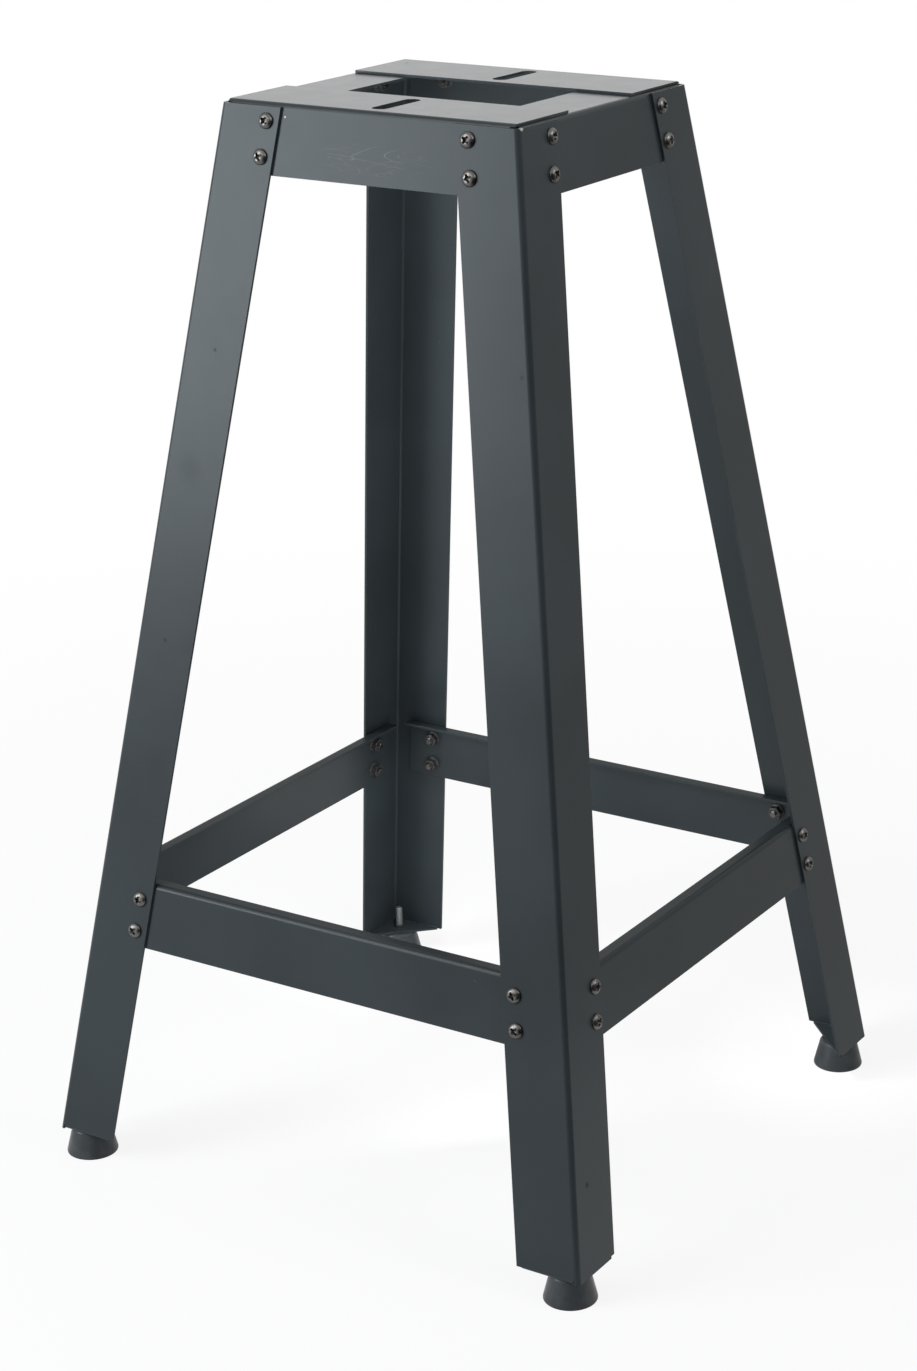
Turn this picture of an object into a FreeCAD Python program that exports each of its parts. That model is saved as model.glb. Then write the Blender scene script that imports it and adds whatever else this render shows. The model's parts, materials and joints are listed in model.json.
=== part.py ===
"""Bench grinder stand: four folded-angle legs splayed both ways, a two-plate top, four lower rails
and four screw-in rubber feet.

Millimetres. +Z is up, +X is right and -Y is the front. The origin is on the floor under the centre.
"""
import FreeCAD, Part
import math
import os

# Overall size and sheet
HEIGHT = 800.0              # floor to the upper face of the top plates, feet screwed right in
SHEET = 2.0                 # thickness of every folded sheet part
BEND = 2.0                  # inside radius of every fold but the foot tab's

# Legs: outer half sizes across the four legs at the two cut ends
LEG_TOP = 797.5
LEG_BOTTOM = 21.3
TOP_HALF_X = 121.8
TOP_HALF_Y = 113.7
BASE_HALF_X = 232.4
BASE_HALF_Y = 229.0
FRONT_FLANGE = 50.4         # outer width of a leg's front or back flange, square to its corner
SIDE_FLANGE = 49.0          # the same for its left or right flange

# Foot tab that closes the bottom of each leg
TAB_BEND = 0.5              # inside radius of the tab's sharp fold
TAB_UPSTAND = 3.5           # height of the fold, and of the relief slit beside it
TAB_RELIEF = 0.6            # width of the slit between the fold and the corner bend
TAB_GAP = 0.3               # space between the tab and the side flange
END_NOTCH_WIDTH = 3.5       # notch at the free lower end of each flange
END_NOTCH_HEIGHT = 1.7
COLLAR_RADIUS = 4.2         # drawn collar round the threaded hole of the tab
COLLAR_HEIGHT = 2.5

# Top: front and back plates lie across the left and right rails
PLATE_HALF_LENGTH = 117.5
PLATE_DEPTH = 68.5          # from the outer face of the apron to the plate's inner edge
APRON_HEIGHT = 50.0         # measured down the slope of the apron
APRON_END = 8.0             # from the legs' outer face to the apron's end
SLOT_LENGTH = 50.0
SLOT_WIDTH = 12.0
SLOT_CENTRE_Y = 76.7
TOP_RAIL_DEPTH = 47.7       # width of the side rails' upper flange
TOP_RAIL_HALF_LENGTH = 107.0

# Lower rails
FRONT_RAIL_TOP = 229.0      # upper face of the front and back rails
SIDE_RAIL_TOP = 227.7       # the same of the left and right rails
RAIL_HEIGHT = 50.5
RAIL_LIP = 10.5             # width of the inward upper flange, from the outer face
RAIL_END = 17.0             # from the legs' outer face to the rail's end

# Screws and nuts (M6)
SCREW_RADIUS = 3.0
SCREW_LENGTH = 12.0
SCREW_HOLE_RADIUS = 3.25
HEAD_RADIUS = 5.7
HEAD_HEIGHT = 3.4
HEAD_RIM = 1.0              # straight part of the head under its dome
HEAD_FLAT_RADIUS = 2.0      # flat crown
SCREW_INSET = 40.5          # from the leg's outer corner, level
SCREW_PITCH = 25.0          # between the two screws of a joint, down the slope
TOP_SCREW_DROP = 10.0       # from the leg's top to the first screw
LOWER_SCREW_Z = 204.2       # middle of the lower pair
NUT_HEIGHT = 6.0
NUT_ACROSS_FLATS = 10.0
NUT_FLANGE_RADIUS = 6.5
NUT_FLANGE_HEIGHT = 1.4
NUT_BORE_CLEARANCE = 0.02

# Feet
FOOT_INSET = 17.0           # from both outer faces of the leg, at its bottom
FOOT_RADIUS = 19.5
FOOT_NECK_RADIUS = 15.2     # where the cone meets the rounded shoulder
FOOT_SHOULDER = 3.0
FOOT_EDGE = 1.0             # small straight rim at the floor
FOOT_RECESS_RADIUS = 12.0
FOOT_RECESS_DEPTH = 2.0
STUD_RADIUS = 3.0
STUD_TOP = 42.0
STUD_CHAMFER = 0.8
DISC_RADIUS = 10.0          # steel disc on the stud's lower end, inside the rubber
DISC_BOTTOM = 5.0
DISC_THICKNESS = 3.0
RUNNING_CLEARANCE = 0.05

SPLAY_X = (BASE_HALF_X - TOP_HALF_X) / (LEG_TOP - LEG_BOTTOM)
SPLAY_Y = (BASE_HALF_Y - TOP_HALF_Y) / (LEG_TOP - LEG_BOTTOM)
LONG = 1000.0               # longer than any sheet part, for blanks and cutters

ORIGIN = FreeCAD.Vector(0, 0, 0)
X_AXIS = FreeCAD.Vector(1, 0, 0)
Y_AXIS = FreeCAD.Vector(0, 1, 0)
Z_AXIS = FreeCAD.Vector(0, 0, 1)


def half_x(z):
    """Outer half width of the stand along X at height z."""
    return TOP_HALF_X + SPLAY_X * (LEG_TOP - z)


def half_y(z):
    """Outer half width of the stand along Y at height z."""
    return TOP_HALF_Y + SPLAY_Y * (LEG_TOP - z)


class Wall:
    """One sloping side of the stand, as a frame on the legs' outer face.

    In the wall's own axes x runs level along the side, y up the slope and z outwards. Its origin is
    at floor level in the middle of the side.
    """

    def __init__(self, along, out, splay, half_size, half_length):
        self.angle = math.atan(splay)
        self.along = along
        self.out = out * math.cos(self.angle) + Z_AXIS * math.sin(self.angle)
        self.up = Z_AXIS * math.cos(self.angle) - out * math.sin(self.angle)
        self.inward = FreeCAD.Vector(0, math.sin(self.angle), -math.cos(self.angle))
        self.half_length = half_length
        base = out * half_size(0)
        rotation = FreeCAD.Rotation(self.along, self.up, self.out)
        self.placement = FreeCAD.Placement(base, rotation)

    def rise(self, z):
        """Distance up the slope of the outer face at height z."""
        return z / math.cos(self.angle)

    def place(self, shape):
        """The shape, drawn in the wall's axes, moved to where the wall is."""
        placed = shape.copy()
        placed.Placement = self.placement.multiply(placed.Placement)
        return placed

    def folded_rail(self, top, depth, height, half_length):
        """Angle against the legs' inner face: a level flange at height top and one down the slope."""
        corner = FreeCAD.Vector(-half_length, self.rise(top) + SHEET * math.tan(self.angle), -SHEET)
        section = folded_section(corner + self.inward * depth, corner, corner - Y_AXIS * height)
        return self.place(section.extrude(X_AXIS * (2 * half_length)))


FRONT = Wall(X_AXIS, Y_AXIS * -1, SPLAY_Y, half_y, half_x)
RIGHT = Wall(Y_AXIS, X_AXIS, SPLAY_X, half_x, half_y)


def rounded_corner(before, corner, after, radius):
    """The two tangent points of a rounded corner and the middle of its arc."""
    a = (before - corner).normalize()
    b = (after - corner).normalize()
    half_angle = a.getAngle(b) / 2
    middle = (a + b).normalize()
    centre = corner + middle * (radius / math.sin(half_angle))
    reach = radius / math.tan(half_angle)
    return corner + a * reach, centre - middle * radius, corner + b * reach


def folded_section(start, corner, end, bend=BEND):
    """Section of a sheet folded once: the three points lie on its outer face."""
    a = (start - corner).normalize()
    b = (end - corner).normalize()
    turn = a.getAngle(b)
    inner_corner = corner + (a + b) * (SHEET / math.sin(turn))
    start_in = start + (b - a * a.dot(b)).normalize() * SHEET
    end_in = end + (a - b * a.dot(b)).normalize() * SHEET
    p1, p2, p3 = rounded_corner(start, corner, end, bend + SHEET)
    q1, q2, q3 = rounded_corner(start_in, inner_corner, end_in, bend)
    edges = [
        Part.LineSegment(start, p1).toShape(),
        Part.Arc(p1, p2, p3).toShape(),
        Part.LineSegment(p3, end).toShape(),
        Part.LineSegment(end, end_in).toShape(),
        Part.LineSegment(end_in, q3).toShape(),
        Part.Arc(q3, q2, q1).toShape(),
        Part.LineSegment(q1, start_in).toShape(),
        Part.LineSegment(start_in, start).toShape(),
    ]
    return Part.Face(Part.Wire(edges))


def prism(points, direction):
    """Solid with a polygon base, swept along a vector."""
    return Part.Face(Part.makePolygon(points + points[:1])).extrude(direction)


def slab(low, high):
    """Level block that is wider than the stand, between two heights."""
    corner = FreeCAD.Vector(-LONG / 2, -LONG / 2, low)
    return Part.makeBox(LONG, LONG, high - low, corner)


def wall_trim(wall, low, high, end_gap):
    """Block of a wall between two heights, its ends following the legs at a distance."""
    corners = []
    for z, side in ((low, -1), (low, 1), (high, 1), (high, -1)):
        u = side * (wall.half_length(z) - end_gap)
        corners.append(FreeCAD.Vector(u, wall.rise(z), -LONG / 4))
    return wall.place(prism(corners, Z_AXIS * (LONG / 2)))


def screw_spots(wall):
    """The eight screw places on a wall, as (tier, x, y) in the wall's axes."""
    top = wall.rise(LEG_TOP) - TOP_SCREW_DROP
    middle = wall.rise(LOWER_SCREW_Z)
    rows = [
        ("top", top),
        ("top", top - SCREW_PITCH),
        ("lower", middle + SCREW_PITCH / 2),
        ("lower", middle - SCREW_PITCH / 2),
    ]
    spots = []
    for tier, v in rows:
        u = wall.half_length(v * math.cos(wall.angle)) - SCREW_INSET
        spots.append((tier, u, v))
        spots.append((tier, -u, v))
    return spots


def drilled(shape, walls, tier=None):
    """The shape with the screw holes of its walls cut through it."""
    drills = []
    for wall in walls:
        for level, u, v in screw_spots(wall):
            if tier in (None, level):
                start = FreeCAD.Vector(u, v, -4 * SHEET)
                drills.append(wall.place(Part.makeCylinder(SCREW_HOLE_RADIUS, 6 * SHEET, start)))
    return shape.cut(drills)


def foot_axis():
    """Centre of the front right foot, on the floor."""
    return FreeCAD.Vector(BASE_HALF_X - FOOT_INSET, FOOT_INSET - BASE_HALF_Y, 0)


def leg_angle():
    """The plain front right angle: two flanges and their bend, cut level at both ends."""
    foot = FreeCAD.Vector(half_x(0), -half_y(0), 0)
    head = FreeCAD.Vector(half_x(HEIGHT), -half_y(HEIGHT), HEIGHT)
    corner_line = (head - foot).normalize()
    along_front = FRONT.out.cross(corner_line).normalize()
    along_side = corner_line.cross(RIGHT.out).normalize()
    start = foot - corner_line * 2 * FRONT_FLANGE
    section = folded_section(
        start + along_front * FRONT_FLANGE,
        start,
        start + along_side * SIDE_FLANGE,
    )
    angle = section.extrude(corner_line * LONG)
    return angle.common(slab(LEG_BOTTOM, LEG_TOP))


def fold_end():
    """Place along X where the foot tab's fold ends and the flange's end notch starts."""
    return half_x(LEG_BOTTOM) - FRONT_FLANGE + END_NOTCH_WIDTH


def end_notches():
    """Cutters for the notch at the free lower end of both flanges."""
    inner_end = half_y(LEG_BOTTOM) - SIDE_FLANGE + END_NOTCH_WIDTH
    cutters = []
    for wall, start in ((FRONT, fold_end() - FRONT_FLANGE), (RIGHT, -inner_end)):
        corner = FreeCAD.Vector(start, wall.rise(LEG_BOTTOM) - SHEET, -2 * SHEET)
        cutter = Part.makeBox(FRONT_FLANGE, SHEET + END_NOTCH_HEIGHT, 4 * SHEET, corner)
        cutters.append(wall.place(cutter))
    return cutters


def foot_tab():
    """Three-cornered tab folded in from the front flange, with its drawn collar."""
    top = LEG_BOTTOM + SHEET
    end_x = fold_end()
    fold_start = half_x(LEG_BOTTOM) - BEND - SHEET - TAB_RELIEF
    foot = FreeCAD.Vector(0, FRONT.rise(LEG_BOTTOM), 0)
    lip = FRONT.inward * (2 * (TAB_BEND + SHEET))
    fold = folded_section(foot + Y_AXIS * TAB_UPSTAND, foot, foot + lip, TAB_BEND)
    fold.translate(X_AXIS * end_x)
    fold = FRONT.place(fold.extrude(X_AXIS * (fold_start - end_x)))

    # The free edge leaves the flange's inner face at the fold's end, at 45 degrees
    side_x = half_x(top) - SHEET / math.cos(RIGHT.angle) - TAB_GAP
    edge_y = SHEET / math.cos(FRONT.angle) - half_y(top + TAB_BEND)
    front_y = TAB_BEND + 2 * SHEET - half_y(LEG_BOTTOM)
    back_y = edge_y + side_x - end_x
    corners = [
        FreeCAD.Vector(side_x, front_y, LEG_BOTTOM),
        FreeCAD.Vector(side_x, back_y, LEG_BOTTOM),
        FreeCAD.Vector(end_x + front_y - edge_y, front_y, LEG_BOTTOM),
    ]
    tab = prism(corners, Z_AXIS * SHEET)
    outside = prism(
        [
            FreeCAD.Vector(side_x, back_y, 0),
            FreeCAD.Vector(end_x, edge_y, 0),
            FreeCAD.Vector(end_x - SHEET, edge_y, 0),
            FreeCAD.Vector(end_x - SHEET, back_y, 0),
        ],
        Z_AXIS * (top + TAB_BEND),
    )
    collar_foot = foot_axis() + Z_AXIS * top
    collar = Part.makeCylinder(COLLAR_RADIUS, COLLAR_HEIGHT, collar_foot)
    thread = Part.makeCylinder(STUD_RADIUS + RUNNING_CLEARANCE, 2 * LEG_BOTTOM, foot_axis())
    return fold.cut(outside).fuse([tab, collar]).cut(thread)


def leg():
    """Front right leg: drilled angle with the foot tab folded in at its lower end."""
    start = fold_end()
    corner = FreeCAD.Vector(start, FRONT.rise(LEG_BOTTOM) - SHEET, -2 * SHEET)
    width = half_x(LEG_BOTTOM) - BEND - SHEET - start
    relief = Part.makeBox(width, SHEET + TAB_UPSTAND, 4 * SHEET, corner)
    angle = leg_angle().cut([FRONT.place(relief)] + end_notches())
    body = angle.fuse(foot_tab())
    return drilled(body, (FRONT, RIGHT))


def top_plate():
    """Front plate: wide flange with the slot, and the apron folded down from it."""
    plate = FRONT.folded_rail(HEIGHT, PLATE_DEPTH, APRON_HEIGHT, PLATE_HALF_LENGTH)
    low = HEIGHT - 2 * APRON_HEIGHT
    apron_zone = slab(low, HEIGHT - SHEET)
    apron_ends = apron_zone.cut(wall_trim(FRONT, low - SHEET, HEIGHT + SHEET, APRON_END))
    plate = plate.cut(apron_ends)
    return drilled(plate.cut(slot()), (FRONT,), "top")


def slot():
    """Cutter for the round-ended slot of the front plate."""
    reach = (SLOT_LENGTH - SLOT_WIDTH) / 2
    middle = FreeCAD.Vector(0, -SLOT_CENTRE_Y, HEIGHT - 2 * SHEET)
    depth = 3 * SHEET
    corner = middle - FreeCAD.Vector(SLOT_WIDTH / 2, reach, 0)
    ends = [Part.makeCylinder(SLOT_WIDTH / 2, depth, middle + Y_AXIS * side * reach) for side in (-1, 1)]
    return Part.makeBox(SLOT_WIDTH, 2 * reach, depth, corner).fuse(ends).removeSplitter()


def top_rail():
    """Right upper rail: flange under the plates and an apron down inside the legs."""
    rail = RIGHT.folded_rail(HEIGHT - SHEET, TOP_RAIL_DEPTH, APRON_HEIGHT, TOP_RAIL_HALF_LENGTH)
    return drilled(rail, (RIGHT,), "top")


def lower_rail(wall, top):
    """Lower rail of a wall: upright flange with a narrow lip folded in at its top."""
    rail = wall.folded_rail(top, RAIL_LIP, RAIL_HEIGHT, LONG / 2)
    rail = rail.common(wall_trim(wall, top - 2 * RAIL_HEIGHT, top + 2 * RAIL_HEIGHT, RAIL_END))
    return drilled(rail, (wall,), "lower")


def screw():
    """Pan-head screw along +Z, its head standing on the plane z = 0."""
    dome_height = HEAD_HEIGHT - HEAD_RIM
    dome_width = HEAD_RADIUS - HEAD_FLAT_RADIUS
    dome_radius = (dome_width**2 + dome_height**2) / (2 * dome_height)
    dome_angle = math.asin(dome_width / dome_radius) / 2
    dome_middle = FreeCAD.Vector(
        HEAD_FLAT_RADIUS + dome_radius * math.sin(dome_angle),
        0,
        HEAD_HEIGHT - dome_radius * (1 - math.cos(dome_angle)),
    )
    corners = [
        (HEAD_FLAT_RADIUS, HEAD_HEIGHT),
        (0, HEAD_HEIGHT),
        (0, -SCREW_LENGTH),
        (SCREW_RADIUS, -SCREW_LENGTH),
        (SCREW_RADIUS, 0),
        (HEAD_RADIUS, 0),
        (HEAD_RADIUS, HEAD_RIM),
    ]
    points = [FreeCAD.Vector(r, 0, z) for r, z in corners]
    dome = Part.Arc(points[-1], dome_middle, points[0]).toShape()
    section = Part.Face(Part.Wire(Part.makePolygon(points).Edges + [dome]))
    return section.revolve(ORIGIN, Z_AXIS, 360)


def nut():
    """Flanged hexagon nut, its flange on the plane z = 0 and its body below."""
    corners = []
    for i in range(6):
        angle = math.radians(60 * i)
        reach = NUT_ACROSS_FLATS / math.sqrt(3)
        corners.append(FreeCAD.Vector(reach * math.cos(angle), reach * math.sin(angle), -NUT_HEIGHT))
    body = prism(corners, Z_AXIS * NUT_HEIGHT)
    flange = Part.makeCylinder(NUT_FLANGE_RADIUS, NUT_FLANGE_HEIGHT, Z_AXIS * -NUT_FLANGE_HEIGHT)
    bore = Part.makeCylinder(SCREW_RADIUS + NUT_BORE_CLEARANCE, 2 * NUT_HEIGHT, Z_AXIS * -NUT_HEIGHT)
    return body.fuse(flange).cut(bore)


def fasteners(wall, tier, piece, depth):
    """Four copies of a fastener at one tier of a wall, set below the outer face."""
    copies = []
    for level, u, v in screw_spots(wall):
        if level == tier:
            copy = piece.copy()
            copy.translate(FreeCAD.Vector(u, v, -depth))
            copies.append(wall.place(copy))
    return Part.makeCompound(copies)


def rubber_foot():
    """Front right rubber foot: cone with a rounded shoulder, hollow for the stud's disc."""
    flat = FOOT_NECK_RADIUS - FOOT_SHOULDER
    shoulder_z = LEG_BOTTOM - FOOT_SHOULDER
    diagonal = FOOT_SHOULDER / math.sqrt(2)
    arc_middle = FreeCAD.Vector(flat + diagonal, 0, shoulder_z + diagonal)
    hole = STUD_RADIUS + RUNNING_CLEARANCE
    pocket = DISC_RADIUS + RUNNING_CLEARANCE
    floor_z = DISC_BOTTOM - RUNNING_CLEARANCE
    ceiling_z = DISC_BOTTOM + DISC_THICKNESS + RUNNING_CLEARANCE
    before_arc = [
        (FOOT_RECESS_RADIUS, 0),
        (FOOT_RADIUS, 0),
        (FOOT_RADIUS, FOOT_EDGE),
        (FOOT_NECK_RADIUS, shoulder_z),
    ]
    after_arc = [
        (flat, LEG_BOTTOM),
        (hole, LEG_BOTTOM),
        (hole, ceiling_z),
        (pocket, ceiling_z),
        (pocket, floor_z),
        (0, floor_z),
        (0, FOOT_RECESS_DEPTH),
        (FOOT_RECESS_RADIUS, FOOT_RECESS_DEPTH),
        (FOOT_RECESS_RADIUS, 0),
    ]
    lower = Part.makePolygon([FreeCAD.Vector(x, 0, z) for x, z in before_arc])
    upper = Part.makePolygon([FreeCAD.Vector(x, 0, z) for x, z in after_arc])
    shoulder = Part.Arc(lower.Vertexes[-1].Point, arc_middle, upper.Vertexes[0].Point).toShape()
    section = Part.Face(Part.Wire(lower.Edges + [shoulder] + upper.Edges))
    foot = section.revolve(ORIGIN, Z_AXIS, 360)
    foot.translate(foot_axis())
    return foot


def foot_stud():
    """Front right stud: threaded rod with a disc on its lower end."""
    disc = Part.makeCylinder(DISC_RADIUS, DISC_THICKNESS, Z_AXIS * DISC_BOTTOM)
    rod = Part.makeCylinder(STUD_RADIUS, STUD_TOP - DISC_BOTTOM - STUD_CHAMFER, Z_AXIS * DISC_BOTTOM)
    tip_foot = Z_AXIS * (STUD_TOP - STUD_CHAMFER)
    tip = Part.makeCone(STUD_RADIUS, STUD_RADIUS - STUD_CHAMFER, STUD_CHAMFER, tip_foot)
    stud = disc.fuse([rod, tip]).removeSplitter()
    stud.translate(foot_axis())
    return stud


def mirrored(shape, left, back):
    """Copy of a front right shape for another corner or side."""
    if left:
        shape = shape.mirror(ORIGIN, X_AXIS)
    if back:
        shape = shape.mirror(ORIGIN, Y_AXIS)
    return shape


def build():
    """Every part of the stand by name."""
    parts = {}
    corner_parts = {"leg": leg(), "rubber_foot": rubber_foot(), "foot_stud": foot_stud()}
    for depth, back in (("front", False), ("back", True)):
        for hand, left in (("left", True), ("right", False)):
            for name, shape in corner_parts.items():
                parts[f"{name}_{depth}_{hand}"] = mirrored(shape, left, back)

    nut_depth = 2 * SHEET
    front_parts = {
        "top_plate": top_plate(),
        "lower_rail": lower_rail(FRONT, FRONT_RAIL_TOP),
    }
    side_parts = {
        "top_rail": top_rail(),
        "lower_rail": lower_rail(RIGHT, SIDE_RAIL_TOP),
    }
    for tier in ("top", "lower"):
        for wall, wall_parts in ((FRONT, front_parts), (RIGHT, side_parts)):
            wall_parts[f"{tier}_screws"] = fasteners(wall, tier, screw(), 0)
            wall_parts[f"{tier}_nuts"] = fasteners(wall, tier, nut(), nut_depth)
    for name, shape in front_parts.items():
        parts[f"{name}_front"] = shape
        parts[f"{name}_back"] = mirrored(shape, False, True)
    for name, shape in side_parts.items():
        parts[f"{name}_right"] = shape
        parts[f"{name}_left"] = mirrored(shape, True, False)
    return parts


os.makedirs("parts", exist_ok=True)
for name, shape in build().items():
    shape.exportStep(f"parts/{name}.step")
    print(f"{name}: {len(shape.Solids)} solid(s), {shape.Volume / 1000:.1f} cm3, valid {shape.isValid()}")
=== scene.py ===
"""Looks of the bench grinder stand: painted folded sheets, screws, nuts, studs and rubber feet.

Everything is in metres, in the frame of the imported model: +Z is up and -Y is the front.
"""

import json
import logging
import math
import random
from collections.abc import Iterable, Sequence
from dataclasses import dataclass
from enum import Enum
from functools import reduce
from typing import ClassVar

import bmesh
import bpy
from mathutils import Matrix, Vector

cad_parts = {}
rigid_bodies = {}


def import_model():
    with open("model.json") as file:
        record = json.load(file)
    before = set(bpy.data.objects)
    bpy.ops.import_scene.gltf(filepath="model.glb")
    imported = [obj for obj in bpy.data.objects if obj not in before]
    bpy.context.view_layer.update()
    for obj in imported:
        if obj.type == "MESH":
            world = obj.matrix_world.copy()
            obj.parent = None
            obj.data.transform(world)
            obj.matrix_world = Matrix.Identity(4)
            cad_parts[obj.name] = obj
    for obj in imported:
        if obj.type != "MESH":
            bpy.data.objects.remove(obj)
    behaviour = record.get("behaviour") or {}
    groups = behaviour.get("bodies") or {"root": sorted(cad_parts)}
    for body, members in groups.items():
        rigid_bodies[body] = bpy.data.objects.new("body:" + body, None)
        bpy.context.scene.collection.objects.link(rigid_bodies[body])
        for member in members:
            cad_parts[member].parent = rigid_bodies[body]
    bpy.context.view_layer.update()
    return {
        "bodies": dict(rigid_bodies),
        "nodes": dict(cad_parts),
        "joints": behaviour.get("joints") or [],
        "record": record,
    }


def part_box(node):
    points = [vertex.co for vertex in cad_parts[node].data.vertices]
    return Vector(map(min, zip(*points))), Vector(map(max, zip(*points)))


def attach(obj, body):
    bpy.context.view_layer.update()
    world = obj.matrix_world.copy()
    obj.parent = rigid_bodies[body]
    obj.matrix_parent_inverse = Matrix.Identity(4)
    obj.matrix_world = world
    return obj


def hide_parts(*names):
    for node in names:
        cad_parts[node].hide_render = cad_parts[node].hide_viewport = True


MM = 0.001
MERGE_DISTANCE = 0.002 * MM  # CAD corners closer than this are one corner
FLAT_ANGLE = math.radians(0.6)  # CAD triangles closer than this in slope are one flat face
MOST_NOISE = (0.35, 0.65)  # most of a noise lies between these
LIFT = 0.002  # height of a card that lies on the floor
SWEEP = ((0.52, LIFT), (1.50, LIFT), (1.57, 0.03), (1.60, 0.10))  # card that curves up from the floor

Socket = bpy.types.NodeSocket
Material = bpy.types.Material
Mesh = bpy.types.Mesh
Piece = bpy.types.Object
Work = bmesh.types.BMesh
Face = bmesh.types.BMFace
Vertex = bmesh.types.BMVert
Colour = tuple[float, float, float]
Place = tuple[float, float, float]
Bend = tuple[float, float, float]  # radius, height and rounding of a corner
Pair = tuple[float, float]

log = logging.getLogger("stand")


class Side(Enum):
    """A side of the stand."""

    FRONT = "front"
    BACK = "back"
    LEFT = "left"
    RIGHT = "right"


class Tier(Enum):
    """A height at which the legs are bolted."""

    TOP = "top"
    LOWER = "lower"


class Corner(Enum):
    """A leg's place in the stand."""

    FRONT_LEFT = "front_left"
    FRONT_RIGHT = "front_right"
    BACK_LEFT = "back_left"
    BACK_RIGHT = "back_right"


class Slot(Enum):
    """The record's material slots."""

    PAINT = "powder_coat"
    SCREW = "screw_steel"
    NUT = "nut_steel"
    ZINC = "zinc_steel"
    RUBBER = "foot_rubber"


class Nodes:
    """Node tree of a material or world, with short ways to add its nodes."""

    def __init__(self, owner: Material | bpy.types.World, output: str = "ShaderNodeOutputMaterial") -> None:
        """Empties the tree and adds its output.

        Args:
            owner: Material or world that the tree belongs to.
            output: Blender's name of its output node.
        """
        owner.use_nodes = True
        self.tree = owner.node_tree
        self.tree.nodes.clear()
        self.output = self.node(output)

    def show(self, node: bpy.types.Node) -> None:
        """Makes a node the surface that is seen."""
        self.feed(self.output.inputs["Surface"], node.outputs[0])

    def node(self, kind: str, inputs: dict | None = None, **settings: object) -> bpy.types.Node:
        """Adds a node.

        Args:
            kind: Blender's name of the node type.
            inputs: Values or sockets by input name or number.
            settings: Properties of the node.

        Returns:
            The new node.
        """
        node = self.tree.nodes.new(kind)
        for name, value in settings.items():
            setattr(node, name, value)
        for name, value in (inputs or {}).items():
            self.feed(node.inputs[name], value)
        return node

    def feed(self, socket: Socket, value: object) -> None:
        """Links or sets one input.

        Args:
            socket: Input to feed.
            value: Another node's output, or a plain value.
        """
        if isinstance(value, Socket):
            self.tree.links.new(value, socket)
        else:
            socket.default_value = value

    def remap(self, value: Socket, low: float, high: float, bottom: float = 0.0, top: float = 1.0) -> Socket:
        """Maps low to bottom and high to top, held at both ends."""
        inputs = {0: value, 1: low, 2: high, 3: bottom, 4: top}
        return self.node("ShaderNodeMapRange", inputs).outputs[0]

    def maths(self, operation: str, first: object, second: object = 0.0) -> Socket:
        """Adds one sum, by Blender's name of the operation."""
        return self.node("ShaderNodeMath", {0: first, 1: second}, operation=operation).outputs[0]

    def product(self, *values: object) -> Socket:
        """Multiplies some values."""
        return reduce(lambda first, second: self.maths("MULTIPLY", first, second), values)

    def highest(self, marks: Iterable[Socket]) -> Socket:
        """Keeps the highest of some marks."""
        return reduce(lambda first, second: self.maths("MAXIMUM", first, second), marks)

    def mix(self, share: object, first: object, second: object) -> Socket:
        """Mixes two colours.

        Args:
            share: Share of the second colour.
            first: Colour or socket at share 0.
            second: Colour or socket at share 1.

        Returns:
            The mixed colour.
        """
        colours = [colour if isinstance(colour, Socket) else (*colour, 1.0) for colour in (first, second)]
        inputs = {0: share, 6: colours[0], 7: colours[1]}
        return self.node("ShaderNodeMix", inputs, data_type="RGBA").outputs[2]

    def distance(self, place: Socket, point: Sequence[float]) -> Socket:
        """Measures from a point to a place."""
        inputs = {0: place, 1: point}
        return self.node("ShaderNodeVectorMath", inputs, operation="DISTANCE").outputs["Value"]

    def seen_rays(self) -> Socket:
        """Marks the rays that show the backdrop, not those that only carry light."""
        path = self.node("ShaderNodeLightPath").outputs
        return self.highest(path[f"Is {kind} Ray"] for kind in ("Camera", "Glossy", "Transmission"))


class Shader(Nodes):
    """Material with one principled shader, whose finish follows the piece's own place."""

    def __init__(self, name: str) -> None:
        """Starts a material.

        Args:
            name: Name of the material.
        """
        self.material = bpy.data.materials.new(name)
        super().__init__(self.material)
        self.surface = self.node("ShaderNodeBsdfPrincipled")
        self.show(self.surface)
        self.place = self.node("ShaderNodeTexCoord").outputs["Object"]

    def set(self, name: str, value: object) -> None:
        """Links or sets an input of the principled shader."""
        self.feed(self.surface.inputs[name], value)

    def noise(self, scale: float, detail: float = 2.0, place: Socket | None = None) -> Socket:
        """Adds a cloudy noise of so many cells per metre, read at the piece's own place or another."""
        inputs = {"Vector": place or self.place, "Scale": scale, "Detail": detail}
        return self.node("ShaderNodeTexNoise", inputs).outputs["Fac"]

    def stretched(self, scale: Sequence[float], turn: float = 0.0) -> Socket:
        """Adds a copy of the piece's own place, stretched and turned about the Y axis."""
        inputs = {"Vector": self.place, "Scale": scale, "Rotation": (0.0, turn, 0.0)}
        return self.node("ShaderNodeMapping", inputs).outputs["Vector"]

    def near(self, point: Sequence[float], core: float, reach: float) -> Socket:
        """Marks the space round a point: 1 within core, fading to 0 at reach."""
        return self.remap(self.distance(self.place, point), core, reach, 1.0, 0.0)

    def bump(self, height: Socket, depth: float, **under: Socket) -> Socket:
        """Adds relief of a real depth, on top of the Normal of another where that is given."""
        inputs = {"Height": height, "Distance": depth, **under}
        return self.node("ShaderNodeBump", inputs).outputs["Normal"]


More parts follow.
